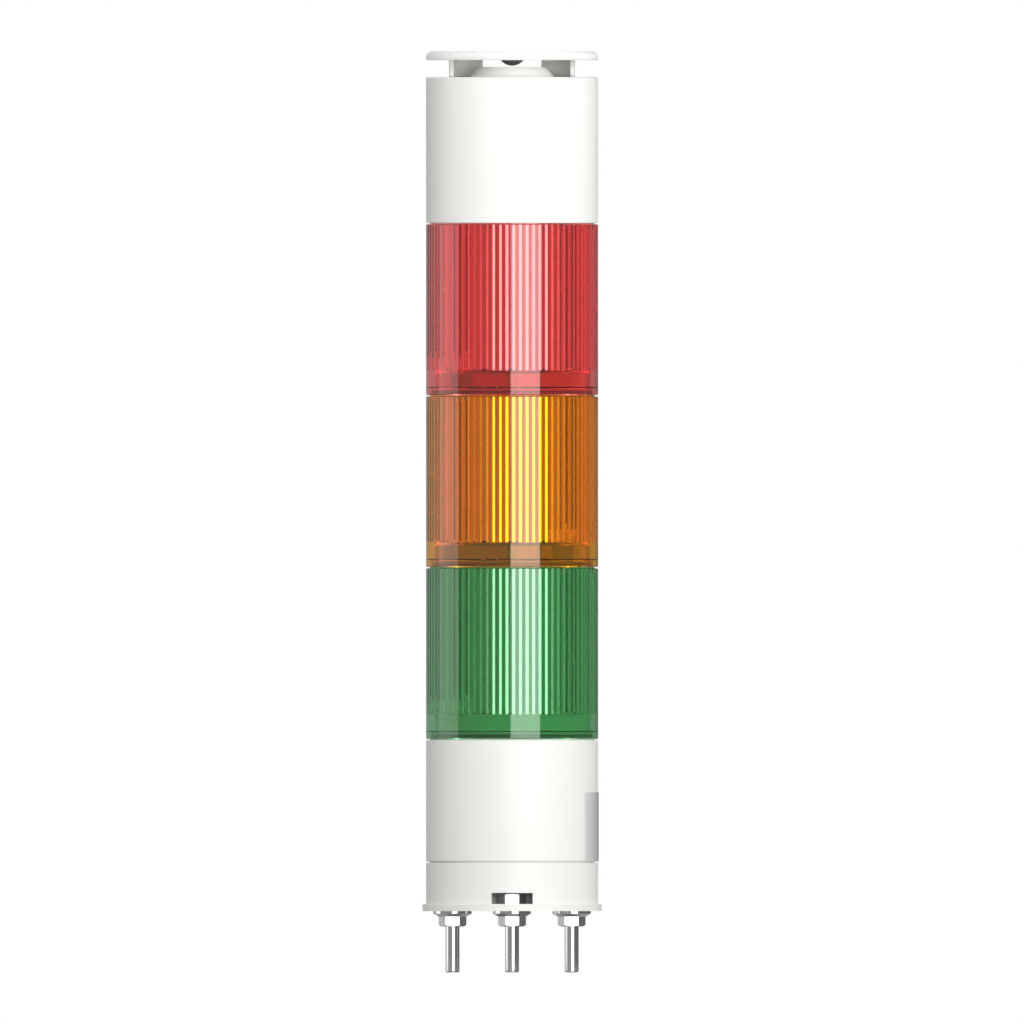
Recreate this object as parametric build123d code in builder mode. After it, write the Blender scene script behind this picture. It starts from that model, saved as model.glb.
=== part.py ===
from build123d import *
import os
from math import asin, cos, degrees, radians, sin, sqrt

# Stack light: three lit tiers under a sounder, on a base ring with three mounting bolts.
# Millimetres. The origin is the middle of the mounting face, +Z runs up the tower, and the front
# of the tower looks along -Y. Angles round the tower are in degrees from +X, so the front is at -90.

os.makedirs("parts", exist_ok=True)

# Tower: outer radius, and the height of each module from its own seat to the next one's
body_r = 30.0
base_h = 17.25
housing_h = 42.75
tier_h = 60.0
sounder_h = 51.0
wall_t = 2.5
deck_t = 2.4
edge_r = 0.6
end_bevel = 0.3
weld = 0.4

# Joint between two modules: a neck with a foot, a seal round the foot, and a collar over both
neck_h = 8.6
neck_gap = 0.2
neck_wall = 1.6
neck_chamfer = 1.1
board_ledge = 1.1
foot_lip = 0.9
foot_h = 2.3
foot_slope = 0.4
foot_gap = 0.1
foot_headroom = 0.2
seat_w = 0.3
shadow_gap = 0.3
seal_z = 1.06
seal_d = 1.05
seal_gap = 0.05

# Flutes inside a lens: sharp ridges with plain wall between them, their crests a touch off centre
flute_count = 76
flute_w = 1.0
flute_depth = 0.5
flute_lean = 0.06
flute_turn = 1.1
flute_start = 0.1
flute_end = 0.4

# Base: flange with its lip, bolt pockets with their windows, and the cable's way out
flange_t = 2.5
lip_overhang = 1.25
lip_edge_r = 0.4
bolt_inset = 6.0
bolt_count = 3
front_angle = -90.0
bolt_hole_r = 2.65
window_w = 14.3
window_h = 3.84
pocket_wall = 1.6
pocket_roof = 1.6
cable_r = 10.0

# Bolts and flange nuts
bolt_r = 2.44
bolt_drop = 21.4
bolt_tip = 0.4
head_flats = 8.4
head_turn = 30.0
head_h = 3.5
head_crown = 0.35
crown_inset = 0.2
nut_rim_r = 6.7
nut_rim_t = 0.9
nut_cone_h = 1.05
nut_h = 5.4
nut_crown = 0.55
nut_gap = 0.06

# Boards, and what stands on them or hangs under them
board_t = 1.2
board_gap = 0.1
led_count = 12
led_inset = 5.6
led_gap = 0.4
led_w = 2.8
led_l = 3.5
led_h = 0.7
led_corner = 0.3
led_bevel = 0.15
connector_inset = 7.9
connector_w = 9.7
connector_d = 6.0
connector_h = 4.6
connector_foot_w = 7.4
connector_foot_d = 4.8
connector_foot_tip = 2.3
connector_drop = 2.4
connector_gap = 0.1
pin_r = 0.5
pin_h = 2.2
pin_pitch = 3.6
link_inset = 6.6
link_w = 8.0
link_t = 1.0
socket_w = 4.0
socket_l = 10.0
socket_h = 6.0
socket_slot_h = 5.0
socket_gap = 0.05
resistor_count = 6
resistor_inset = 13.6
resistor_start_angle = 30.0
resistor_l = 3.2
resistor_w = 1.6
resistor_h = 0.6
chip_l = 6.2
chip_w = 4.0
chip_h = 1.6
chip_bevel = 0.3
chip_pitch = 9.0
chip_y = 7.0

# Supply parts on the lowest board
terminal_w = 20.4
terminal_d = 9.0
terminal_h = 9.5
terminal_bevel = 1.8
terminal_count = 4
terminal_pitch = 5.0
wire_hole_r = 1.5
wire_hole_depth = 6.0
screw_r = 1.6
screw_t = 1.2
screw_gap = 0.05
screw_slot_w = 0.5
screw_slot_h = 0.6
capacitor_r = 5.0
capacitor_h = 17.0
capacitor_groove_h = 1.0
capacitor_groove_depth = 0.4
capacitor_z = 2.5
capacitor_x = 9.0
capacitor_y = -6.0

# Sounder roof, with the sound port that rises from it
port_foot_r = 14.8
port_top_r = 12.2
port_h = 3.5
port_wall = 1.8
sound_hole_r = 1.1
sound_hole_count = 6
sound_ring_r = 6.5
buzzer_inset = 5.5
buzzer_h = 9.0
buzzer_rim = 0.8
buzzer_rim_h = 3.0
buzzer_back_gap = 0.5
buzzer_back_h = 5.0
buzzer_mouth_r = 4.0
buzzer_mouth_depth = 4.0

# Raised cap on its two curved walls
cap_gap_h = 5.85
cap_t = 3.15
cap_chamfer = 1.3
cap_wall_inset = 8.0
cap_wall_t = 1.4
cap_front_half = 80.0
cap_rear_half = 29.8
dome_chord = 8.0
dome_drop = 1.9
dome_peg_r = 1.6
dome_peg_h = 1.6
dome_peg_gap = 0.05

# Label and the moulded mark beside it
label_t = 0.15
label_gap = 0.1
label_h = 23.9
label_angle = 0.0
label_half = 32.5
label_corner = 0.8
mark_h = 5.1
mark_z = 0.75
mark_half = 1.15
mark_gap_arc = 0.5
mark_t = 0.15
mark_corner = 0.5

# Sizes that follow
lip_r = body_r + lip_overhang
collar_r = body_r - wall_t
neck_r = collar_r - neck_gap
foot_r = neck_r + foot_lip
foot_bore_r = foot_r + foot_gap
seat_r = foot_bore_r + seat_w
seal_groove_r = foot_bore_r - seal_d - 2 * seal_gap
seal_groove_h = seal_d + 2 * seal_gap
board_seat_r = neck_r - neck_wall
board_r = board_seat_r - board_gap
neck_bore_r = board_seat_r - board_ledge
board_z = neck_h - board_t
crest_r = collar_r - flute_depth
housing_z = base_h
green_z = housing_z + housing_h
amber_z = green_z + tier_h
red_z = amber_z + tier_h
sounder_z = red_z + tier_h
roof_z = sounder_z + sounder_h
port_z = roof_z + port_h
cap_z = roof_z + cap_gap_h
cap_top_z = cap_z + cap_t
bolt_circle_r = body_r - bolt_inset
head_corner_r = head_flats / sqrt(3)
led_ring_r = board_r - led_inset
led_angle = degrees(asin((connector_d / 2 + led_gap + led_l / 2) / led_ring_r))
connector_x = board_r - connector_inset
link_y = board_r - link_inset
buzzer_r = collar_r - buzzer_inset
buzzer_back_r = link_y - link_w / 2 - buzzer_back_gap
cap_wall_r = body_r - cap_wall_inset


def lathe(points, mode=Mode.ADD, rounded=None):
    """Turn a closed outline of (radius, height) points about the tower's axis."""
    with BuildSketch(Plane.XZ) as outline:
        with BuildLine():
            Polyline(*points, close=True)
        make_face()
        if rounded:
            corner, radius = rounded
            fillet(outline.vertices().sort_by_distance(corner)[0], radius)
    revolve(outline.sketch, axis=Axis.Z, mode=mode)


def radial_plane(angle):
    """The upright plane through the tower's axis, its x running outwards at this angle."""
    turn = radians(angle)
    return Plane(origin=(0, 0, 0), x_dir=(cos(turn), sin(turn), 0), z_dir=(sin(turn), -cos(turn), 0))


def curved_plate(inner_r, outer_r, z0, z1, start, end):
    """A piece of a round wall between two radii, two heights and two angles."""
    with BuildSketch(radial_plane(start)) as outline:
        with BuildLine():
            Polyline((inner_r, z0), (outer_r, z0), (outer_r, z1), (inner_r, z1), close=True)
        make_face()
    revolve(outline.sketch, axis=Axis.Z, revolution_arc=end - start)


def wrapped_patch(inner_r, outer_r, z0, height, angle, half_angle, corner):
    """A thin patch with rounded corners that lies round the tower at this angle."""
    turn = radians(angle)
    facing = Plane(origin=(0, 0, 0), x_dir=(-sin(turn), cos(turn), 0), z_dir=(cos(turn), sin(turn), 0))
    with BuildPart() as patch:
        with BuildSketch(Plane.XY.offset(z0)):
            Circle(outer_r)
            Circle(inner_r, mode=Mode.SUBTRACT)
        extrude(amount=height)
        with BuildSketch(facing):
            with Locations((0, z0 + height / 2)):
                RectangleRounded(2 * outer_r * sin(radians(half_angle)), height, corner)
        extrude(amount=outer_r, mode=Mode.INTERSECT)
    return patch


def collar_outline(z):
    """Outline of a module's lower end: down the inside of its collar and out to its edge."""
    slope_foot = z + foot_h + foot_headroom
    return [
        (collar_r, slope_foot + foot_slope * (foot_bore_r - collar_r) / foot_lip),
        (foot_bore_r, slope_foot),
        (foot_bore_r, z),
        (body_r - end_bevel, z),
        (body_r, z + end_bevel),
    ]


def neck_outline(z):
    """Outline of a module's upper end: in over the shoulder and the seat, and up over the neck."""
    return [
        (body_r, z - shadow_gap - end_bevel),
        (body_r - end_bevel, z - shadow_gap),
        (seat_r, z - shadow_gap),
        (seat_r, z),
        (foot_r, z),
        (foot_r, z + seal_z - seal_groove_h / 2),
        (seal_groove_r, z + seal_z - seal_groove_h / 2),
        (seal_groove_r, z + seal_z + seal_groove_h / 2),
        (foot_r, z + seal_z + seal_groove_h / 2),
        (foot_r, z + foot_h),
        (neck_r, z + foot_h + foot_slope),
        (neck_r, z + neck_h - neck_chamfer),
        (neck_r - neck_chamfer, z + neck_h),
        (board_seat_r, z + neck_h),
        (board_seat_r, z + board_z),
        (neck_bore_r, z + board_z),
        (neck_bore_r, z - deck_t),
    ]


def make_base():
    """Base moulding: flange, ring, three pockets that hold the bolt heads, and a neck."""
    pocket_in = bolt_circle_r - head_flats / 2
    block_in = pocket_in - pocket_wall
    block_out = collar_r + weld
    with BuildPart() as base:
        lathe(
            [(cable_r, 0), (lip_r, 0), (lip_r, flange_t), (body_r, flange_t)]
            + neck_outline(base_h)
            + [(collar_r, base_h - deck_t), (collar_r, flange_t), (cable_r, flange_t)],
            rounded=((lip_r, flange_t), lip_edge_r),
        )
        with BuildSketch(Plane.XY.offset(flange_t)):
            with PolarLocations((block_in + block_out) / 2, bolt_count, start_angle=front_angle):
                Rectangle(block_out - block_in, window_w + 2 * pocket_wall)
        extrude(amount=window_h + pocket_roof)
        with BuildSketch(Plane.XY.offset(flange_t)):
            with PolarLocations((pocket_in + lip_r) / 2, bolt_count, start_angle=front_angle):
                Rectangle(lip_r - pocket_in, window_w)
        extrude(amount=window_h, mode=Mode.SUBTRACT)
        with BuildSketch():
            with PolarLocations(bolt_circle_r, bolt_count, start_angle=front_angle):
                Circle(bolt_hole_r)
        extrude(amount=flange_t, mode=Mode.SUBTRACT)
    return base


def make_bolt():
    """One hex bolt, head up, one flat towards +X, its head resting on the flange."""
    top = flange_t + head_h
    with BuildPart() as bolt:
        with BuildSketch(Plane.XY.offset(flange_t)):
            RegularPolygon(head_flats / 2, 6, major_radius=False, rotation=head_turn)
        extrude(amount=head_h)
        lathe(
            [(0, flange_t), (head_corner_r, flange_t), (head_corner_r, top - head_crown),
             (head_flats / 2 - crown_inset, top), (0, top)],
            mode=Mode.INTERSECT,
        )
        lathe(
            [(0, flange_t), (bolt_r, flange_t), (bolt_r, bolt_tip - bolt_drop),
             (bolt_r - bolt_tip, -bolt_drop), (0, -bolt_drop)],
        )
    return bolt


def make_nut():
    """One flange nut under the flange: rim, cone and hexagon in one piece, bored for the bolt."""
    bore_r = bolt_r + nut_gap
    cone_z = -nut_rim_t - nut_cone_h
    with BuildPart() as nut:
        with BuildSketch(Plane.XY.offset(-nut_h)):
            RegularPolygon(head_flats / 2, 6, major_radius=False, rotation=head_turn)
        extrude(amount=nut_h - nut_rim_t)
        lathe(
            [(0, -nut_h), (head_flats / 2 - crown_inset, -nut_h), (head_corner_r, nut_crown - nut_h),
             (head_corner_r, -nut_rim_t), (0, -nut_rim_t)],
            mode=Mode.INTERSECT,
        )
        lathe(
            [(0, 0), (nut_rim_r, 0), (nut_rim_r, -nut_rim_t), (head_corner_r, cone_z), (0, cone_z)],
        )
        with BuildSketch(Plane.XY.offset(-nut_h)):
            Circle(bore_r)
        extrude(amount=nut_h, mode=Mode.SUBTRACT)
    return nut


def make_seal(z):
    """O-ring in the groove round a neck's foot, drawn at its squeezed size."""
    with BuildPart() as seal:
        with BuildSketch(Plane.XZ):
            with Locations((seal_groove_r + seal_groove_h / 2, z + seal_z)):
                Circle(seal_d / 2)
        revolve(axis=Axis.Z)
    return seal


def make_housing():
    """White tube between the base ring and the lowest tier, with the mark beside its label."""
    mark_angle = label_angle - label_half - mark_gap_arc - mark_half
    mark = wrapped_patch(body_r - weld, body_r + mark_t, housing_z + mark_z, mark_h,
                         mark_angle, mark_half, mark_corner)
    with BuildPart() as housing:
        lathe(collar_outline(housing_z) + neck_outline(green_z) + [(collar_r, green_z - deck_t)])
        add(mark.part)
    return housing


def make_lens(z):
    """Clear coloured tier: smooth outside, fluted chamber inside, collar below and neck above."""
    top = z + tier_h
    low = z + neck_h + flute_start
    chamber_h = tier_h - neck_h - flute_start - flute_end
    half = degrees(flute_w / 2 / collar_r)
    lean = degrees(flute_lean / crest_r)
    flutes = []
    for i in range(flute_count):
        middle = flute_turn + 360 / flute_count * i
        for r, angle in ((collar_r, middle - half), (crest_r, middle + lean), (collar_r, middle + half)):
            flutes.append((r * cos(radians(angle)), r * sin(radians(angle))))
    with BuildPart() as lens:
        lathe(
            [(0, low), (collar_r, low)] + collar_outline(z) + neck_outline(top) + [(0, top - deck_t)],
        )
        with BuildSketch(Plane.XY.offset(low)):
            with BuildLine():
                Polyline(*flutes, close=True)
            make_face()
        extrude(amount=chamber_h, mode=Mode.SUBTRACT)
    return lens


def make_board(z, side):
    """Round board in a neck's mouth, with a hole for the connector that passes through it."""
    with BuildPart() as board:
        with BuildSketch(Plane.XY.offset(z + board_z)):
            Circle(board_r)
            if side:
                with Locations((side * connector_x, 0)):
                    Rectangle(connector_foot_w + 2 * connector_gap, connector_foot_d + 2 * connector_gap,
                              mode=Mode.SUBTRACT)
        extrude(amount=board_t)
    return board


def make_leds(z):
    """Surface-mounted lamps in a ring on a tier's board, half of them each side of the connector."""
    arc = 180 - 2 * led_angle
    with BuildPart() as leds:
        with BuildSketch(Plane.XY.offset(z + neck_h)):
            for start in (led_angle, 180 + led_angle):
                with PolarLocations(led_ring_r, led_count // 2, start, arc, endpoint=True):
                    RectangleRounded(led_w, led_l, led_corner)
        extrude(amount=led_h)
        chamfer(leds.faces().filter_by(Axis.Z).group_by(Axis.Z)[-1].edges(), led_bevel)
    return leds


def make_resistors(z):
    """Chip resistors on a tier's board, inside the ring of lamps."""
    with BuildPart() as resistors:
        with BuildSketch(Plane.XY.offset(z + neck_h)):
            with PolarLocations(board_r - resistor_inset, resistor_count, start_angle=resistor_start_angle):
                Rectangle(resistor_w, resistor_l)
        extrude(amount=resistor_h)
    return resistors


def make_chips(z):
    """Two moulded chips side by side on a board."""
    with BuildPart() as chips:
        with BuildSketch(Plane.XY.offset(z + neck_h)):
            with Locations((0, chip_y)):
                with GridLocations(chip_pitch, 0, 2, 1):
                    Rectangle(chip_l, chip_w)
        extrude(amount=chip_h)
        chamfer(chips.faces().filter_by(Axis.Z).group_by(Axis.Z)[-1].edges(), chip_bevel)
    return chips


def make_connector(z, side):
    """Connector block with two pins on a board, its round-ended foot down in the module below."""
    x = side * connector_x
    foot_top = z + neck_h
    foot_low = z - connector_drop
    half = connector_foot_w / 2
    tip = connector_foot_tip
    with BuildPart() as connector:
        with BuildSketch(Plane.XY.offset(foot_top)):
            with Locations((x, 0)):
                Rectangle(connector_w, connector_d)
        extrude(amount=connector_h)
        with BuildSketch(Plane.XZ):
            with BuildLine():
                Line((x - half, foot_top), (x - half, z))
                Line((x - half, z), (x - tip, foot_low + tip))
                ThreePointArc((x - tip, foot_low + tip), (x, foot_low), (x + tip, foot_low + tip))
                Line((x + tip, foot_low + tip), (x + half, z))
                Line((x + half, z), (x + half, foot_top))
                Line((x + half, foot_top), (x - half, foot_top))
            make_face()
        extrude(amount=connector_foot_d / 2, both=True)
        with BuildSketch(Plane.XY.offset(foot_top + connector_h)):
            with Locations((x, 0)):
                with GridLocations(pin_pitch, 0, 2, 1):
                    Circle(pin_r)
        extrude(amount=pin_h)
    return connector


def make_link_board(z, top):
    """Slim upright board at the rear, edge on to the front, from one board up to the next socket."""
    with BuildPart() as link:
        with BuildSketch(Plane.XY.offset(z + neck_h)):
            with Locations((0, link_y)):
                Rectangle(link_t, link_w)
        extrude(amount=top - z - neck_h)
    return link


def make_socket(z):
    """Socket under a board, slotted for the top of the link board below."""
    with BuildPart() as socket:
        with BuildSketch(Plane.XY.offset(z + board_z - socket_h)):
            with Locations((0, link_y)):
                Rectangle(socket_w, socket_l)
        extrude(amount=socket_h)
        with BuildSketch(Plane.XY.offset(z + board_z - socket_h)):
            with Locations((0, link_y)):
                Rectangle(link_t + 2 * socket_gap, link_w + 2 * socket_gap)
        extrude(amount=socket_slot_h, mode=Mode.SUBTRACT)
    return socket


def link_top(z):
    """How high a link board reaches into the socket of the module seated at this height."""
    return z + board_z - socket_h + socket_slot_h - socket_gap


def write(piece, name):
    """Label a finished piece and write it to its file."""
    piece.part.label = name
    export_step(piece.part, f"parts/{name}.step")


# Base moulding
write(make_base(), "mounting_base")

# Bolts: three alike, in one file
bolt = make_bolt()
with BuildPart() as mounting_bolts:
    with PolarLocations(bolt_circle_r, bolt_count, start_angle=front_angle):
        add(bolt.part)
write(mounting_bolts, "mounting_bolts")

# Flange nuts, each its own piece because each screws off its own bolt
nut = make_nut()
for i, name in enumerate(("nut_front", "nut_right", "nut_left")):
    turn = front_angle + 360 / bolt_count * i
    with BuildPart() as placed_nut:
        with Locations(Location((0, 0, 0), (0, 0, turn))):
            with Locations((bolt_circle_r, 0)):
                add(nut.part)
    write(placed_nut, name)

# Board under the body, with its terminals, capacitors and link board
write(make_board(housing_z, 0), "driver_board")

with BuildPart() as terminal_block:
    top = housing_z + board_z
    with BuildSketch(Plane.XY.offset(top - terminal_h)):
        Rectangle(terminal_w, terminal_d)
    extrude(amount=terminal_h)
    front_top = terminal_block.faces().sort_by(Axis.Y)[0].edges().sort_by(Axis.Z)[0]
    chamfer(front_top, terminal_bevel)
    with BuildSketch(Plane.XY.offset(top - terminal_h)):
        with GridLocations(terminal_pitch, 0, terminal_count, 1):
            Circle(wire_hole_r)
    extrude(amount=wire_hole_depth, mode=Mode.SUBTRACT)
    with BuildSketch(Plane.XZ.offset(terminal_d / 2)):
        with Locations((0, top - terminal_h / 2)):
            with GridLocations(terminal_pitch, 0, terminal_count, 1):
                Circle(screw_r + screw_gap)
    extrude(amount=-screw_t, mode=Mode.SUBTRACT)
write(terminal_block, "terminal_block")

with BuildPart() as terminal_screws:
    with BuildSketch(Plane.XZ.offset(terminal_d / 2 - screw_t)):
        with Locations((0, housing_z + board_z - terminal_h / 2)):
            with GridLocations(terminal_pitch, 0, terminal_count, 1):
                Circle(screw_r)
    extrude(amount=screw_t)
    with BuildSketch(Plane.XZ.offset(terminal_d / 2)):
        with Locations((0, housing_z + board_z - terminal_h / 2)):
            with GridLocations(terminal_pitch, 0, terminal_count, 1):
                Rectangle(2 * screw_r, screw_slot_w)
    extrude(amount=-screw_slot_h, mode=Mode.SUBTRACT)
write(terminal_screws, "terminal_screws")

with BuildPart() as driver_capacitors:
    with BuildSketch(Plane.XY.offset(housing_z + neck_h)):
        with Locations((-capacitor_x, capacitor_y), (capacitor_x, capacitor_y)):
            Circle(capacitor_r)
    extrude(amount=capacitor_h)
    with BuildSketch(Plane.XY.offset(housing_z + neck_h + capacitor_z)):
        with Locations((-capacitor_x, capacitor_y), (capacitor_x, capacitor_y)):
            Circle(capacitor_r)
            Circle(capacitor_r - capacitor_groove_depth, mode=Mode.SUBTRACT)
    extrude(amount=capacitor_groove_h, mode=Mode.SUBTRACT)
write(driver_capacitors, "driver_capacitors")

write(make_chips(housing_z), "driver_chips")

write(make_seal(housing_z), "body_seal")
write(make_link_board(housing_z, link_top(green_z)), "body_link_board")

# White housing with its label
write(make_housing(), "body_housing")

label_inner_r = body_r + label_gap
label = wrapped_patch(label_inner_r, label_inner_r + label_t, housing_z + end_bevel,
                      label_h, label_angle, label_half, label_corner)
write(label, "side_label")

# Three lit tiers, their connectors on alternating sides
for colour, z, side in (("green", green_z, -1), ("amber", amber_z, 1), ("red", red_z, -1)):
    write(make_seal(z), f"{colour}_seal")
    write(make_lens(z), f"{colour}_lens")
    write(make_board(z, side), f"{colour}_board")
    write(make_leds(z), f"{colour}_leds")
    write(make_resistors(z), f"{colour}_resistors")
    write(make_connector(z, side), f"{colour}_connector")
    write(make_link_board(z, link_top(z + tier_h)), f"{colour}_link_board")
    write(make_socket(z), f"{colour}_socket")

# Sounder: seal, board, connector and socket as in the tiers, and the housing over them
write(make_seal(sounder_z), "sounder_seal")
write(make_board(sounder_z, 1), "sounder_board")
write(make_chips(sounder_z), "sounder_chips")
write(make_connector(sounder_z, 1), "sounder_connector")
write(make_socket(sounder_z), "sounder_socket")

with BuildPart() as sounder_housing:
    lathe(
        collar_outline(sounder_z)
        + [(body_r, roof_z), (port_foot_r, roof_z), (port_top_r, port_z), (0, port_z),
           (0, port_z - port_wall), (port_top_r - port_wall, port_z - port_wall),
           (port_top_r - port_wall, roof_z - wall_t), (collar_r, roof_z - wall_t)],
        rounded=((body_r, roof_z), edge_r),
    )
    with BuildSketch(Plane.XY.offset(port_z)):
        Circle(sound_hole_r)
        with PolarLocations(sound_ring_r, sound_hole_count):
            Circle(sound_hole_r)
    extrude(amount=-port_wall, mode=Mode.SUBTRACT)
write(sounder_housing, "sounder_housing")

# Buzzer under the roof: rim against the roof, body, and a smaller back with the terminals
with BuildPart() as buzzer:
    mouth_z = roof_z - wall_t
    lathe([
        (0, mouth_z - buzzer_mouth_depth), (buzzer_mouth_r, mouth_z - buzzer_mouth_depth),
        (buzzer_mouth_r, mouth_z), (buzzer_r, mouth_z), (buzzer_r, mouth_z - buzzer_rim_h),
        (buzzer_r - buzzer_rim, mouth_z - buzzer_rim_h), (buzzer_r - buzzer_rim, mouth_z - buzzer_h),
        (buzzer_back_r, mouth_z - buzzer_h), (buzzer_back_r, mouth_z - buzzer_h - buzzer_back_h),
        (0, mouth_z - buzzer_h - buzzer_back_h),
    ])
write(buzzer, "buzzer")
write(make_link_board(sounder_z, roof_z - wall_t - buzzer_h), "sounder_link_board")

# Cap: round disc with a chamfered top edge, on two curved walls that stand on the roof
with BuildPart() as sounder_cap:
    lathe([
        (0, cap_z), (body_r, cap_z), (body_r, cap_top_z - cap_chamfer),
        (body_r - cap_chamfer, cap_top_z), (0, cap_top_z),
    ])
    right_start = front_angle + cap_front_half
    right_end = 90 - cap_rear_half
    for start, end in ((right_start, right_end), (180 - right_end, 180 - right_start)):
        curved_plate(cap_wall_r - cap_wall_t, cap_wall_r, roof_z, cap_z, start, end)
    with BuildSketch(Plane.XY.offset(cap_z)):
        Circle(dome_peg_r + dome_peg_gap)
    extrude(amount=dome_peg_h + dome_peg_gap, mode=Mode.SUBTRACT)
write(sounder_cap, "sounder_cap")

# Deflector: a shallow dome under the middle of the cap, on a peg pressed into it
with BuildPart() as sound_deflector:
    half = dome_chord / 2
    with BuildSketch(Plane.XZ):
        with BuildLine():
            arc = ThreePointArc(
                (-half, cap_z), (0, cap_z - dome_drop), (half, cap_z),
            )
            Line(arc @ 1, arc @ 0)
        make_face()
        with Locations((-half, cap_z - dome_drop)):
            Rectangle(half, 2 * dome_drop, align=Align.MIN, mode=Mode.SUBTRACT)
    revolve(axis=Axis.Z)
    with BuildSketch(Plane.XY.offset(cap_z)):
        Circle(dome_peg_r)
    extrude(amount=dome_peg_h)
write(sound_deflector, "sound_deflector")
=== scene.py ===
import bmesh
import bpy
import math
from mathutils import Matrix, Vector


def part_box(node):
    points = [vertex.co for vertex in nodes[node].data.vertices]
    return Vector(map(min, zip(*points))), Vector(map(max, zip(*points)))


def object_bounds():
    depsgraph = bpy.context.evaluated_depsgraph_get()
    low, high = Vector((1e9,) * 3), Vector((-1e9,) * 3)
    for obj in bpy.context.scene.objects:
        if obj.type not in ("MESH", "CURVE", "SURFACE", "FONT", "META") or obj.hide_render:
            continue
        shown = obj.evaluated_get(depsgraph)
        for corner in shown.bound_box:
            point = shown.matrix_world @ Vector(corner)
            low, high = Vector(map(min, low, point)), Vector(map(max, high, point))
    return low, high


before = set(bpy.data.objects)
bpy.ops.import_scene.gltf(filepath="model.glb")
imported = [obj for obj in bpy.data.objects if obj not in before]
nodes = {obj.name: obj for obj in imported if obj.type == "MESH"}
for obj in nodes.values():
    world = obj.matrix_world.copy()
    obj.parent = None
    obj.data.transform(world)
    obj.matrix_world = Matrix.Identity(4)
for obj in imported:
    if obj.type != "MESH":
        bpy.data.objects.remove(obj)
cad_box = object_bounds()


# White mouldings: base ring, body, sounder housing and cap.
# Injection moulded in light-stable white plastic with a smooth, faintly matte skin. They stand one
# on the other. The cap is moulded with its two walls, thin enough to let some light through.
def new_material(name, base, roughness, metallic=0.0):
    """A node material with its shader's plain values set, ready for its own texture nodes."""
    material = bpy.data.materials.new(name)
    material.use_nodes = True
    shader = material.node_tree.nodes["Principled BSDF"]
    shader.inputs["Base Color"].default_value = (*base, 1)
    shader.inputs["Roughness"].default_value = roughness
    shader.inputs["Metallic"].default_value = metallic
    return material, material.node_tree, shader


def new_group(name, given, results):
    """An empty shader group with its inputs, their presets and its outputs."""
    group = bpy.data.node_groups.new(name, "ShaderNodeTree")
    kinds = {"float": "NodeSocketFloat", "colour": "NodeSocketColor", "vector": "NodeSocketVector"}
    for label, kind, preset in given:
        socket = group.interface.new_socket(label, in_out="INPUT", socket_type=kinds[kind])
        socket.default_value = preset
    for label, kind in results:
        group.interface.new_socket(label, in_out="OUTPUT", socket_type=kinds[kind])
    inner = group.nodes.new("NodeGroupInput").outputs
    return group, inner, group.nodes.new("NodeGroupOutput").inputs


def feed(tree, socket, value):
    """Another node's output is linked to the socket, and a plain value is set on it."""
    if isinstance(value, bpy.types.NodeSocket):
        tree.links.new(value, socket)
    else:
        socket.default_value = value


def calc(tree, operation, *values):
    """One sum on numbers or on other nodes' outputs."""
    node = tree.nodes.new("ShaderNodeMath")
    node.operation = operation
    for socket, value in zip(node.inputs, values):
        feed(tree, socket, value)
    return node.outputs[0]


def ramp(tree, value, low, high, to_low=0.0, to_high=1.0):
    """A value carried smoothly from one range to another and held at its ends."""
    node = tree.nodes.new("ShaderNodeMapRange")
    node.interpolation_type = "SMOOTHSTEP"
    tree.links.new(value, node.inputs["Value"])
    ends = {"From Min": low, "From Max": high, "To Min": to_low, "To Max": to_high}
    for label, number in ends.items():
        node.inputs[label].default_value = number
    return node.outputs["Result"]


def noise(tree, where, scale, detail=2.0):
    """Soft random shading of one scale and fineness."""
    node = tree.nodes.new("ShaderNodeTexNoise")
    feed(tree, node.inputs["Detail"], detail)
    tree.links.new(where, node.inputs["Vector"])
    feed(tree, node.inputs["Scale"], scale)
    return node.outputs["Fac"]


def object_place(tree):
    """Where each point lies on the object, in metres."""
    return tree.nodes.new("ShaderNodeTexCoord").outputs["Object"]


def scale_colour(tree, colour, factor):
    """A colour made lighter or darker by a factor."""
    node = tree.nodes.new("ShaderNodeVectorMath")
    node.operation = "SCALE"
    tree.links.new(colour, node.inputs[0])
    tree.links.new(factor, node.inputs["Scale"])
    return node.outputs[0]


def bump(tree, height, strength, depth=0.0001):
    """A surface normal from a height, with the depth of the relief in metres."""
    node = tree.nodes.new("ShaderNodeBump")
    node.inputs["Distance"].default_value = depth
    tree.links.new(height, node.inputs["Height"])
    feed(tree, node.inputs["Strength"], strength)
    return node.outputs["Normal"]


def group_node(tree, group, **values):
    """The node of a shader group in a material, with its inputs set by name."""
    node = tree.nodes.new("ShaderNodeGroup")
    node.node_tree = group
    for label, value in values.items():
        node.inputs[label.replace("_", " ")].default_value = value
    return node


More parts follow.
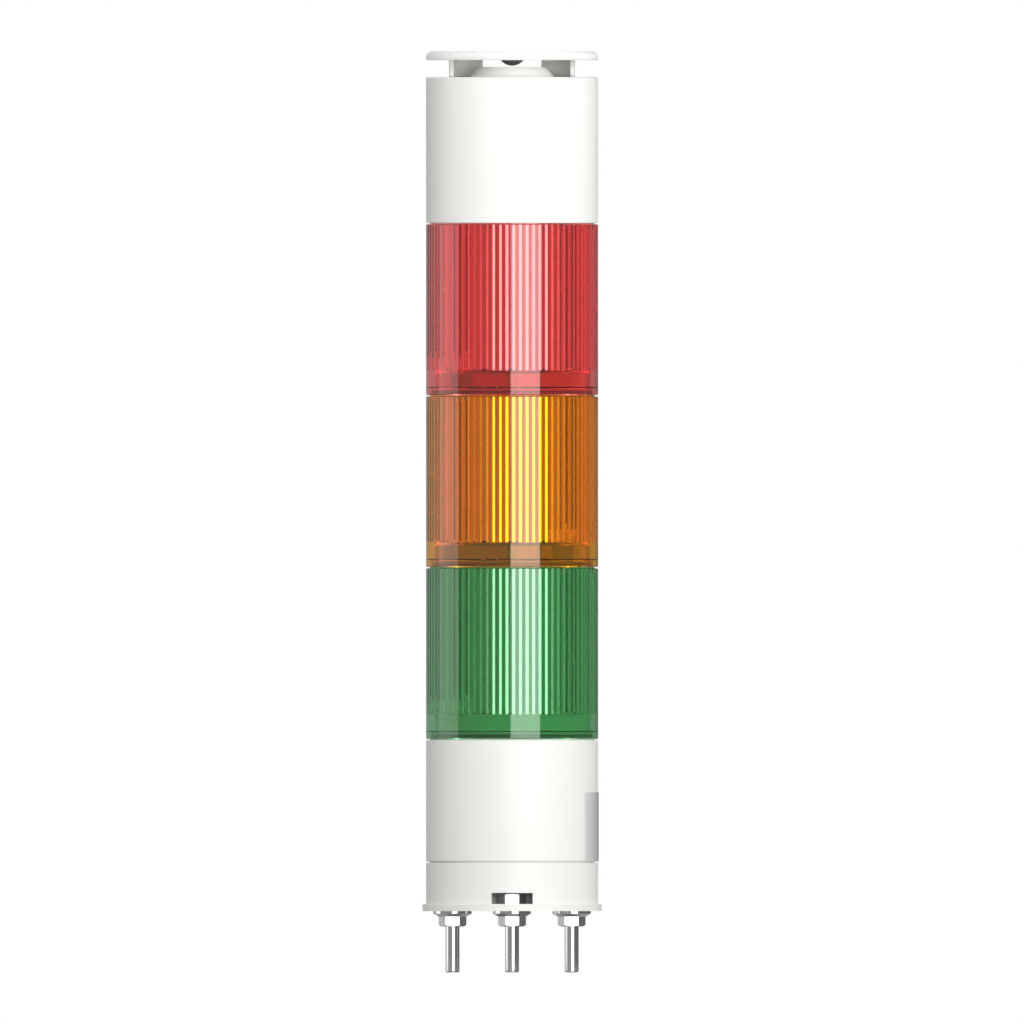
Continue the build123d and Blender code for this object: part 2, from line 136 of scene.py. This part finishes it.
def make_skin_group():
    """Moulded skin: slow waves from cooling, fine grain, uneven gloss and edges rubbed by use."""
    group, given, result = new_group(
        "Moulded skin",
        [("Base", "colour", (0.8, 0.8, 0.8, 1)), ("Variation", "float", 0.03),
         ("Roughness", "float", 0.4), ("Gloss change", "float", 0.1),
         ("Grain size", "float", 4000.0), ("Grain depth", "float", 0.02), ("Wear", "float", 0.1)],
        [("Color", "colour"), ("Roughness", "float"), ("Normal", "vector")])
    edge_r = 0.0003
    where = object_place(group)
    clouds = noise(group, where, 60.0)
    grain = noise(group, where, given["Grain size"], 1.0)
    corner = group.nodes.new("ShaderNodeBevel")
    corner.samples = 4
    corner.inputs["Radius"].default_value = edge_r
    facing = group.nodes.new("ShaderNodeVectorMath")
    facing.operation = "DOT_PRODUCT"
    group.links.new(corner.outputs[0], facing.inputs[0])
    normal = group.nodes.new("ShaderNodeNewGeometry").outputs["Normal"]
    group.links.new(normal, facing.inputs[1])
    edge = ramp(group, facing.outputs["Value"], 0.98, 0.8)
    patches = ramp(group, noise(group, where, 350.0, 3.0), 0.45, 0.62)
    rubbed = calc(group, "MULTIPLY", calc(group, "MULTIPLY", edge, patches), given["Wear"])
    dark = calc(group, "SUBTRACT", 1.0, calc(group, "MULTIPLY", clouds, given["Variation"]))
    shade = calc(group, "MULTIPLY", dark, calc(group, "SUBTRACT", 1.0, rubbed))
    group.links.new(scale_colour(group, given["Base"], shade), result["Color"])
    gloss = calc(group, "MULTIPLY_ADD", clouds, given["Gloss change"], given["Roughness"])
    group.links.new(calc(group, "ADD", gloss, rubbed), result["Roughness"])
    group.links.new(bump(group, grain, given["Grain depth"]), result["Normal"])
    return group


skin_group = make_skin_group()


def moulded(name, base, roughness, metallic=0.0, **skin_values):
    """A moulded or cast finish with the skin's waves, grain and rubbed edges."""
    material, tree, shader = new_material(name, base, roughness, metallic)
    skin = group_node(tree, skin_group, Base=(*base, 1), Roughness=roughness, **skin_values)
    targets = {"Color": "Base Color", "Roughness": "Roughness", "Normal": "Normal"}
    for label, target in targets.items():
        tree.links.new(skin.outputs[label], shader.inputs[target])
    return material, tree, shader, skin


def white_moulding(name):
    """The tower's white plastic."""
    return moulded(name, (0.86, 0.86, 0.83), 0.42, Variation=0.03, Gloss_change=0.12,
                   Grain_depth=0.02, Wear=0.1)


def finish_nodes(material, *names):
    """Give CAD nodes this material on every slot."""
    for name in names:
        slots = nodes[name].data.materials
        slots.clear()
        slots.append(material)


def make_core_group():
    """A mask of what lies nearer to the tower's axis than a limit in metres."""
    group, given, result = new_group("Near the axis", [("Limit", "float", 0.01)],
                                     [("Mask", "float")])
    place = group.nodes.new("ShaderNodeSeparateXYZ")
    group.links.new(object_place(group), place.inputs[0])
    squares = [calc(group, "POWER", calc(group, "ABSOLUTE", place.outputs[way]), 2.0)
               for way in ("X", "Y")]
    reach = calc(group, "SQRT", calc(group, "ADD", *squares))
    group.links.new(calc(group, "LESS_THAN", reach, given["Limit"]), result["Mask"])
    return group


core_group = make_core_group()

white_plastic, _, _, _ = white_moulding("White moulded plastic")
finish_nodes(white_plastic, "body_housing", "sounder_housing")

light_depth = 0.003
cap_plastic, _, shader, _ = white_moulding("White cap plastic")
shader.inputs["Subsurface Weight"].default_value = 1
shader.inputs["Subsurface Radius"].default_value = (1, 1, 1)
shader.inputs["Subsurface Scale"].default_value = light_depth
finish_nodes(cap_plastic, "sounder_cap")

# Painted shade: inside the base ring, nearer the axis than its wall, the white is painted darker
# (down to 0.35 of its colour) as the shade that falls in the hollow.
base_wall = 0.0026
painted_inside_shade = 0.35
base_plastic, tree, shader, skin = white_moulding("White base plastic")
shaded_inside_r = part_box("body_housing")[1].x - base_wall
shaded_inside_mask = group_node(tree, core_group, Limit=shaded_inside_r).outputs["Mask"]
shade = ramp(tree, shaded_inside_mask, 0.0, 1.0, 1.0, painted_inside_shade)
tree.links.new(scale_colour(tree, skin.outputs["Color"], shade), shader.inputs["Base Color"])
finish_nodes(base_plastic, "mounting_base")


# Bolts, flange nuts and terminal screws.
# Cold-formed steel with a bright zinc plating: mirror-like, with fine drawing lines along the
# shanks.
def make_lines_group():
    """Fine lines: noise drawn out along each direction whose stretch is small."""
    group, given, result = new_group(
        "Drawn lines",
        [("Stretch", "vector", (1, 1, 0.02)), ("Size", "float", 6000.0), ("Detail", "float", 1.0)],
        [("Lines", "float")])
    drawn = group.nodes.new("ShaderNodeMapping")
    group.links.new(given["Stretch"], drawn.inputs["Scale"])
    group.links.new(object_place(group), drawn.inputs["Vector"])
    lines = noise(group, drawn.outputs[0], given["Size"], given["Detail"])
    group.links.new(lines, result["Lines"])
    return group


lines_group = make_lines_group()

zinc, tree, shader, skin = moulded(
    "Bright zinc", (0.92, 0.92, 0.93), 0.0, 1.0, Variation=0.05, Gloss_change=0.03,
    Grain_size=7000.0, Grain_depth=0.002, Wear=0.06)
upright_lines = group_node(tree, lines_group, Stretch=(1, 1, 0.02), Size=6000.0, Detail=1.0)
dulled = calc(tree, "MULTIPLY_ADD", upright_lines.outputs["Lines"], 0.02, skin.outputs["Roughness"])
tree.links.new(dulled, shader.inputs["Roughness"])
finish_nodes(zinc, "mounting_bolts", "nut_front", "nut_left", "nut_right", "terminal_screws")


# O-rings.
# Moulded dark grey rubber cords, each squeezed between a neck's foot and the collar round it, with
# a satin skin that holds a little pale moulding dust.
def mix_colour(tree, mask, first, second):
    """The first colour where the mask is 0 and the second where it is 1."""
    node = tree.nodes.new("ShaderNodeMix")
    node.data_type = "RGBA"
    tree.links.new(mask, node.inputs["Factor"])
    for socket, value in ((node.inputs[6], first), (node.inputs[7], second)):
        feed(tree, socket, (*value, 1) if isinstance(value, tuple) else value)
    return node.outputs[2]


def ending(*endings):
    """The CAD nodes whose names end so, one for each level of the tower."""
    return [name for name in nodes if name.endswith(endings)]


rubber, tree, shader, skin = moulded(
    "Grey rubber", (0.13, 0.13, 0.13), 0.55, Variation=0.1, Grain_size=2500.0, Grain_depth=0.12,
    Wear=0.05)
dust = ramp(tree, noise(tree, object_place(tree), 900.0, 3.0), 0.5, 0.75, 0.0, 0.35)
dusty = mix_colour(tree, dust, skin.outputs["Color"], (0.2, 0.2, 0.19))
tree.links.new(dusty, shader.inputs["Base Color"])
finish_nodes(rubber, *ending("_seal"))


# Circuit boards: the driver board, the round board of each level and the upright link boards.
# Glass-fibre laminate under white or green solder resist, with tinned pads and copper tracks that
# show as slightly raised lines.
def make_board_group():
    """Tracks round the cells of a pattern, tinned pads in some cells, and the laminate's weave."""
    group, given, result = new_group(
        "Board face",
        [("Resist", "colour", (0.03, 0.14, 0.06, 1)), ("Track", "colour", (0.06, 0.24, 0.1, 1))],
        [("Color", "colour"), ("Roughness", "float"), ("Metal", "float"), ("Normal", "vector")])
    cells_per_metre = 330
    tin = (0.62, 0.62, 0.6)
    where = object_place(group)
    cells = group.nodes.new("ShaderNodeTexVoronoi")
    cells.feature = "DISTANCE_TO_EDGE"
    centres = group.nodes.new("ShaderNodeTexVoronoi")
    for texture in (cells, centres):
        texture.inputs["Scale"].default_value = cells_per_metre
        group.links.new(where, texture.inputs["Vector"])
    track = ramp(group, cells.outputs["Distance"], 0.07, 0.05)
    pad = ramp(group, centres.outputs["Distance"], 0.16, 0.13)
    weave = noise(group, where, 2500.0, 1.0)
    resist = scale_colour(group, given["Resist"], ramp(group, weave, 0.3, 0.7, 0.9, 1.05))
    resist = mix_colour(group, track, resist, given["Track"])
    group.links.new(mix_colour(group, pad, resist, tin), result["Color"])
    group.links.new(calc(group, "MULTIPLY_ADD", weave, 0.12, 0.28), result["Roughness"])
    group.links.new(pad, result["Metal"])
    copper = calc(group, "MAXIMUM", track, pad)
    height = calc(group, "ADD", copper, calc(group, "MULTIPLY", weave, 0.3))
    group.links.new(bump(group, height, 0.5, 0.00005), result["Normal"])
    return group


board_group = make_board_group()


def board(name, resist, track):
    """A board finish in one colour of resist."""
    material, tree, shader = new_material(name, resist, 0.35)
    face = group_node(tree, board_group, Resist=(*resist, 1), Track=(*track, 1))
    targets = {"Color": "Base Color", "Roughness": "Roughness", "Metal": "Metallic",
               "Normal": "Normal"}
    for label, target in targets.items():
        tree.links.new(face.outputs[label], shader.inputs[target])
    return material


finish_nodes(board("Green circuit board", (0.03, 0.14, 0.06), (0.06, 0.24, 0.1)),
             "driver_board", "sounder_board", *ending("_link_board"))
finish_nodes(board("White circuit board", (0.6, 0.6, 0.57), (0.7, 0.7, 0.66)),
             "green_board", "amber_board", "red_board")


# Chips and resistors on the boards.
# Black moulded epoxy and dark resistor bodies, all soldered flat to the board they stand on.
epoxy, _, _, _ = moulded(
    "Black epoxy", (0.03, 0.03, 0.032), 0.5, Variation=0.15, Gloss_change=0.2, Grain_size=5000.0,
    Grain_depth=0.1, Wear=0.05)
finish_nodes(epoxy, *ending("_chips", "_resistors"))


# Plug connectors and sockets between the levels.
# Natural white nylon, moulded, yellowed by age in soft patches. They are soldered through the
# boards, pins inside.
nylon, tree, shader, skin = moulded(
    "White nylon", (0.8, 0.8, 0.76), 0.38, Variation=0.06, Gloss_change=0.15, Grain_size=3000.0,
    Grain_depth=0.05, Wear=0.08)
aged = ramp(tree, noise(tree, object_place(tree), 220.0, 2.0), 0.4, 0.75, 0.0, 0.4)
yellowed = mix_colour(tree, aged, skin.outputs["Color"], (0.78, 0.74, 0.62))
tree.links.new(yellowed, shader.inputs["Base Color"])
finish_nodes(nylon, *ending("_connector", "_socket"))


# Lamps: twelve on each lit level's board.
# A white moulded cup with a glossy filling over its yellow phosphor, which covers the middle of
# each lamp, in a ring round the board.
lamp_half = 0.0014
phosphor_half = 0.0009
phosphor = (0.8, 0.58, 0.12)
lamp, tree, shader, skin = moulded(
    "Lamp package", (0.85, 0.84, 0.8), 0.3, Variation=0.05, Gloss_change=0.1, Grain_size=6000.0,
    Grain_depth=0.03, Wear=0.05)
lamps_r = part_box("green_leds")[1].x - lamp_half
outer = group_node(tree, core_group, Limit=lamps_r + phosphor_half).outputs["Mask"]
inner = group_node(tree, core_group, Limit=lamps_r - phosphor_half).outputs["Mask"]
middle = calc(tree, "SUBTRACT", outer, inner)
filled = mix_colour(tree, middle, skin.outputs["Color"], phosphor)
tree.links.new(filled, shader.inputs["Base Color"])
dulling = calc(tree, "SUBTRACT", 1.0, calc(tree, "MULTIPLY", middle, 0.7))
tree.links.new(calc(tree, "MULTIPLY", dulling, skin.outputs["Roughness"]),
               shader.inputs["Roughness"])
finish_nodes(lamp, *ending("_leds"))


# Terminal block that takes the supply wires.
# Green moulded polyamide on the driver board, satin, with its screws in open wells.
terminal_plastic, _, _, _ = moulded(
    "Green polyamide", (0.06, 0.28, 0.09), 0.45, Variation=0.08, Gloss_change=0.15,
    Grain_size=2800.0, Grain_depth=0.08, Wear=0.1)
finish_nodes(terminal_plastic, "terminal_block")


# Capacitors on the driver board.
# Aluminium cans in a dark blue shrink sleeve, which leaves the top of the can bare, stood upright
# and soldered by their leads.
aluminium = (0.75, 0.75, 0.76)
sleeve, tree, shader, skin = moulded(
    "Capacitor sleeve", (0.03, 0.035, 0.07), 0.3, Variation=0.1, Gloss_change=0.15,
    Grain_size=1500.0, Grain_depth=0.05, Wear=0.05)
can_top = tree.nodes.new("ShaderNodeSeparateXYZ")
tree.links.new(tree.nodes.new("ShaderNodeNewGeometry").outputs["Normal"], can_top.inputs[0])
bare = ramp(tree, can_top.outputs["Z"], 0.6, 0.8)
tree.links.new(mix_colour(tree, bare, skin.outputs["Color"], aluminium),
               shader.inputs["Base Color"])
tree.links.new(bare, shader.inputs["Metallic"])
finish_nodes(sleeve, "driver_capacitors")


# Buzzer under the sounder's roof.
# Black moulded plastic case with a fine spark-eroded texture, round its open mouth.
case, _, _, _ = moulded(
    "Buzzer case", (0.025, 0.025, 0.027), 0.5, Variation=0.15, Gloss_change=0.1,
    Grain_size=1800.0, Grain_depth=0.3, Wear=0.15)
finish_nodes(case, "buzzer")


# Type label on the right of the body, left bare.
# Brushed silver film, stuck down flat, with fine lines round the body. Its colour is painted darker
# where it is seen at a slant, as painted shade.
label, tree, shader, skin = moulded(
    "Silver film", (0.95, 0.93, 0.92), 0.5, 0.2, Variation=0.04, Gloss_change=0.05,
    Grain_depth=0.0, Wear=0.05)
# Painted shade: the film's colour is scaled from 0.85 facing to 0.42 at a grazing slant, standing
# in for the light falling off round the body.
slant = tree.nodes.new("ShaderNodeLayerWeight").outputs["Facing"]
painted_slant_shade = ramp(tree, slant, 0.3, 1.0, 0.85, 0.42)
tree.links.new(scale_colour(tree, skin.outputs["Color"], painted_slant_shade), shader.inputs["Base Color"])
brushing = group_node(tree, lines_group, Stretch=(0.02, 0.02, 1), Size=9000.0, Detail=2.0)
streaks = brushing.outputs["Lines"]
tree.links.new(bump(tree, streaks, 0.15, 0.00002), shader.inputs["Normal"])
tree.links.new(calc(tree, "MULTIPLY_ADD", streaks, 0.08, skin.outputs["Roughness"]),
               shader.inputs["Roughness"])
finish_nodes(label, "side_label")


# Sound deflector under the middle of the cap.
# Dark grey moulded plastic, matte, pressed into the cap by its peg.
deflector, _, _, _ = moulded(
    "Dark grey plastic", (0.2, 0.2, 0.19), 0.5, Variation=0.08, Gloss_change=0.1,
    Grain_size=2500.0, Grain_depth=0.1, Wear=0.1)
finish_nodes(deflector, "sound_deflector")


# Lenses of the three lit levels.
# Clear coloured polycarbonate, polished outside and ridged inside, with a plain collar at the foot.
# The thin neck on top holds less of the dye, so it is paler.
def make_lens_group():
    """Dye deeper in the thick wall than in the neck, flow marks and faint scuffs."""
    group, given, result = new_group(
        "Lens dye",
        [("Wall", "colour", (0.9, 0.2, 0.2, 1)), ("Neck", "colour", (0.95, 0.5, 0.5, 1)),
         ("Seam", "float", 0.12)],
        [("Color", "colour"), ("Roughness", "float")])
    where = object_place(group)
    place = group.nodes.new("ShaderNodeSeparateXYZ")
    group.links.new(where, place.inputs[0])
    neck = calc(group, "GREATER_THAN", place.outputs["Z"], given["Seam"])
    flow = ramp(group, noise(group, where, 45.0, 2.0), 0.3, 0.7, 0.985, 1.0)
    dye = mix_colour(group, neck, given["Wall"], given["Neck"])
    group.links.new(scale_colour(group, dye, flow), result["Color"])
    scuffs = ramp(group, noise(group, where, 1400.0, 4.0), 0.66, 0.74, 0.0, 0.05)
    group.links.new(scuffs, result["Roughness"])
    return group


lens_group = make_lens_group()
clear_bending = 1.8
neck_share = 0.25


def lens(name, wall, neck, seam):
    """Clear plastic of one colour, paler above its upper seam."""
    material, tree, shader = new_material(name, wall, 0.0)
    shader.inputs["Transmission Weight"].default_value = 1
    shader.inputs["IOR"].default_value = clear_bending
    dye = group_node(tree, lens_group, Wall=(*wall, 1), Neck=(*neck, 1), Seam=seam)
    tree.links.new(dye.outputs["Color"], shader.inputs["Base Color"])
    tree.links.new(dye.outputs["Roughness"], shader.inputs["Roughness"])
    return material


for colour, wall, piece_above in (("green", (0.2, 0.568, 0.26), "amber_lens"),
                                  ("amber", (0.93, 0.425, 0.01), "red_lens"),
                                  ("red", (0.98, 0.2, 0.2), "sounder_housing")):
    neck = tuple(level ** neck_share for level in wall)
    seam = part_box(piece_above)[0].z
    clear_plastic = lens(f"{colour.capitalize()} clear plastic", wall, neck, seam)
    finish_nodes(clear_plastic, f"{colour}_lens")


# Studio light.
# A tall soft box stands in front, to the right of the camera, and a narrow one at the left. The
# rest is a pale room, brighter overhead, with a white backdrop that also shows through the lenses.
def make_studio():
    """The light from each direction, by azimuth from the front and by elevation, in degrees."""
    world = bpy.data.worlds.new("Studio")
    bpy.context.scene.world = world
    world.use_nodes = True
    tree = world.node_tree
    tree.nodes.clear()

    def inside(angle, low, high):
        """1 where the angle lies between the two limits."""
        off = calc(tree, "ABSOLUTE", calc(tree, "SUBTRACT", angle, (low + high) / 2))
        return calc(tree, "LESS_THAN", off, (high - low) / 2)

    def choose(mask, yes, no):
        """One value where the mask is 1 and another where it is 0."""
        return calc(tree, "ADD", calc(tree, "MULTIPLY", mask, yes),
                    calc(tree, "MULTIPLY", calc(tree, "SUBTRACT", 1.0, mask), no))

    direction = tree.nodes.new("ShaderNodeSeparateXYZ")
    tree.links.new(tree.nodes.new("ShaderNodeTexCoord").outputs["Generated"], direction.inputs[0])
    forward = calc(tree, "MULTIPLY", direction.outputs["Y"], -1.0)
    azimuth = calc(tree, "DEGREES", calc(tree, "ARCTAN2", direction.outputs["X"], forward))
    elevation = calc(tree, "DEGREES", calc(tree, "ARCSINE", direction.outputs["Z"]))
    horizon = inside(elevation, -6.0, 6.0)
    low = inside(elevation, -14.0, 14.0)
    overhead = inside(elevation, 45.0, 91.0)
    left_rear = inside(azimuth, -180.0, -116.0)
    left_corner = inside(azimuth, -134.0, -116.0)
    right_side = inside(azimuth, 38.0, 180.0)
    right_wall = inside(azimuth, 38.0, 125.0)
    front_box = calc(tree, "MULTIPLY", inside(azimuth, -2.0, 38.0), low)
    left_box = calc(tree, "MULTIPLY", inside(azimuth, -116.0, -78.0),
                    inside(elevation, -25.0, 25.0))

    # What lights the matt surfaces.
    room = choose(left_rear, 0.8, choose(low, choose(right_side, 1.2, 0.6), 0.15))
    room = choose(overhead, 0.9, room)
    room = choose(front_box, 13.2, room)
    room = choose(left_box, 1.5, room)
    # What polished surfaces mirror near the horizon.
    mirrored = choose(left_rear, choose(left_corner, 0.5, 0.28), choose(right_side, 0.13, 0.26))
    mirrored = choose(front_box, 2.6, mirrored)
    mirrored = choose(left_box, 1.1, mirrored)
    # What shows through the lenses, near the horizon and elsewhere.
    behind = choose(front_box, 2.6, choose(right_wall, 1.0, 0.52))
    behind = choose(horizon, behind, calc(tree, "ADD", room, 2.5))

    path = tree.nodes.new("ShaderNodeLightPath").outputs
    light = choose(path["Is Glossy Ray"], choose(horizon, mirrored, room), room)
    light = choose(path["Is Transmission Ray"], behind, light)
    light = choose(path["Is Camera Ray"], 1.0, light)
    shade = tree.nodes.new("ShaderNodeBackground")
    tree.links.new(light, shade.inputs["Strength"])
    shade.inputs["Color"].default_value = (1, 1, 1, 1)
    output = tree.nodes.new("ShaderNodeOutputWorld")
    tree.links.new(shade.outputs[0], output.inputs["Surface"])


make_studio()
bpy.context.scene.cycles.max_bounces = 24
bpy.context.scene.cycles.glossy_bounces = 16
bpy.context.scene.cycles.transmission_bounces = 24


# Floor and camera.
# A plain pale floor under the bolts' ends, which throws only part of its light back up, and a level
# camera straight in front without perspective.
floor_half = 3.0
floor_z = cad_box[0].z - 0.0001
thrown_back = (0.45, 0.45, 0.45)
sheet = bmesh.new()
bmesh.ops.create_grid(sheet, x_segments=1, y_segments=1, size=floor_half,
                      matrix=Matrix.Translation((0, 0, floor_z)))
mesh = bpy.data.meshes.new("floor")
sheet.to_mesh(mesh)
sheet.free()
floor = bpy.data.objects.new("floor", mesh)
bpy.context.scene.collection.objects.link(floor)
floor_paint, tree, shader = new_material("Pale floor", thrown_back, 0.7)
cloudy = ramp(tree, noise(tree, object_place(tree), 3.0, 2.0), 0.3, 0.7)
pale = mix_colour(tree, cloudy, (0.82, 0.82, 0.81), (0.8, 0.8, 0.79))
seen = tree.nodes.new("ShaderNodeLightPath").outputs["Is Camera Ray"]
tree.links.new(mix_colour(tree, seen, thrown_back, pale), shader.inputs["Base Color"])
mesh.materials.append(floor_paint)

view_width = 0.35723
view_middle = (-0.00003, 0.13923)
camera_distance = 0.8
camera = bpy.data.objects.new("camera", bpy.data.cameras.new("camera"))
bpy.context.scene.collection.objects.link(camera)
camera.data.type = "ORTHO"
camera.data.ortho_scale = view_width
camera.location = (view_middle[0], -camera_distance, view_middle[1])
camera.rotation_euler = (math.pi / 2, 0, 0)
bpy.context.scene.camera = camera
bpy.context.scene.view_settings.view_transform = "Standard"
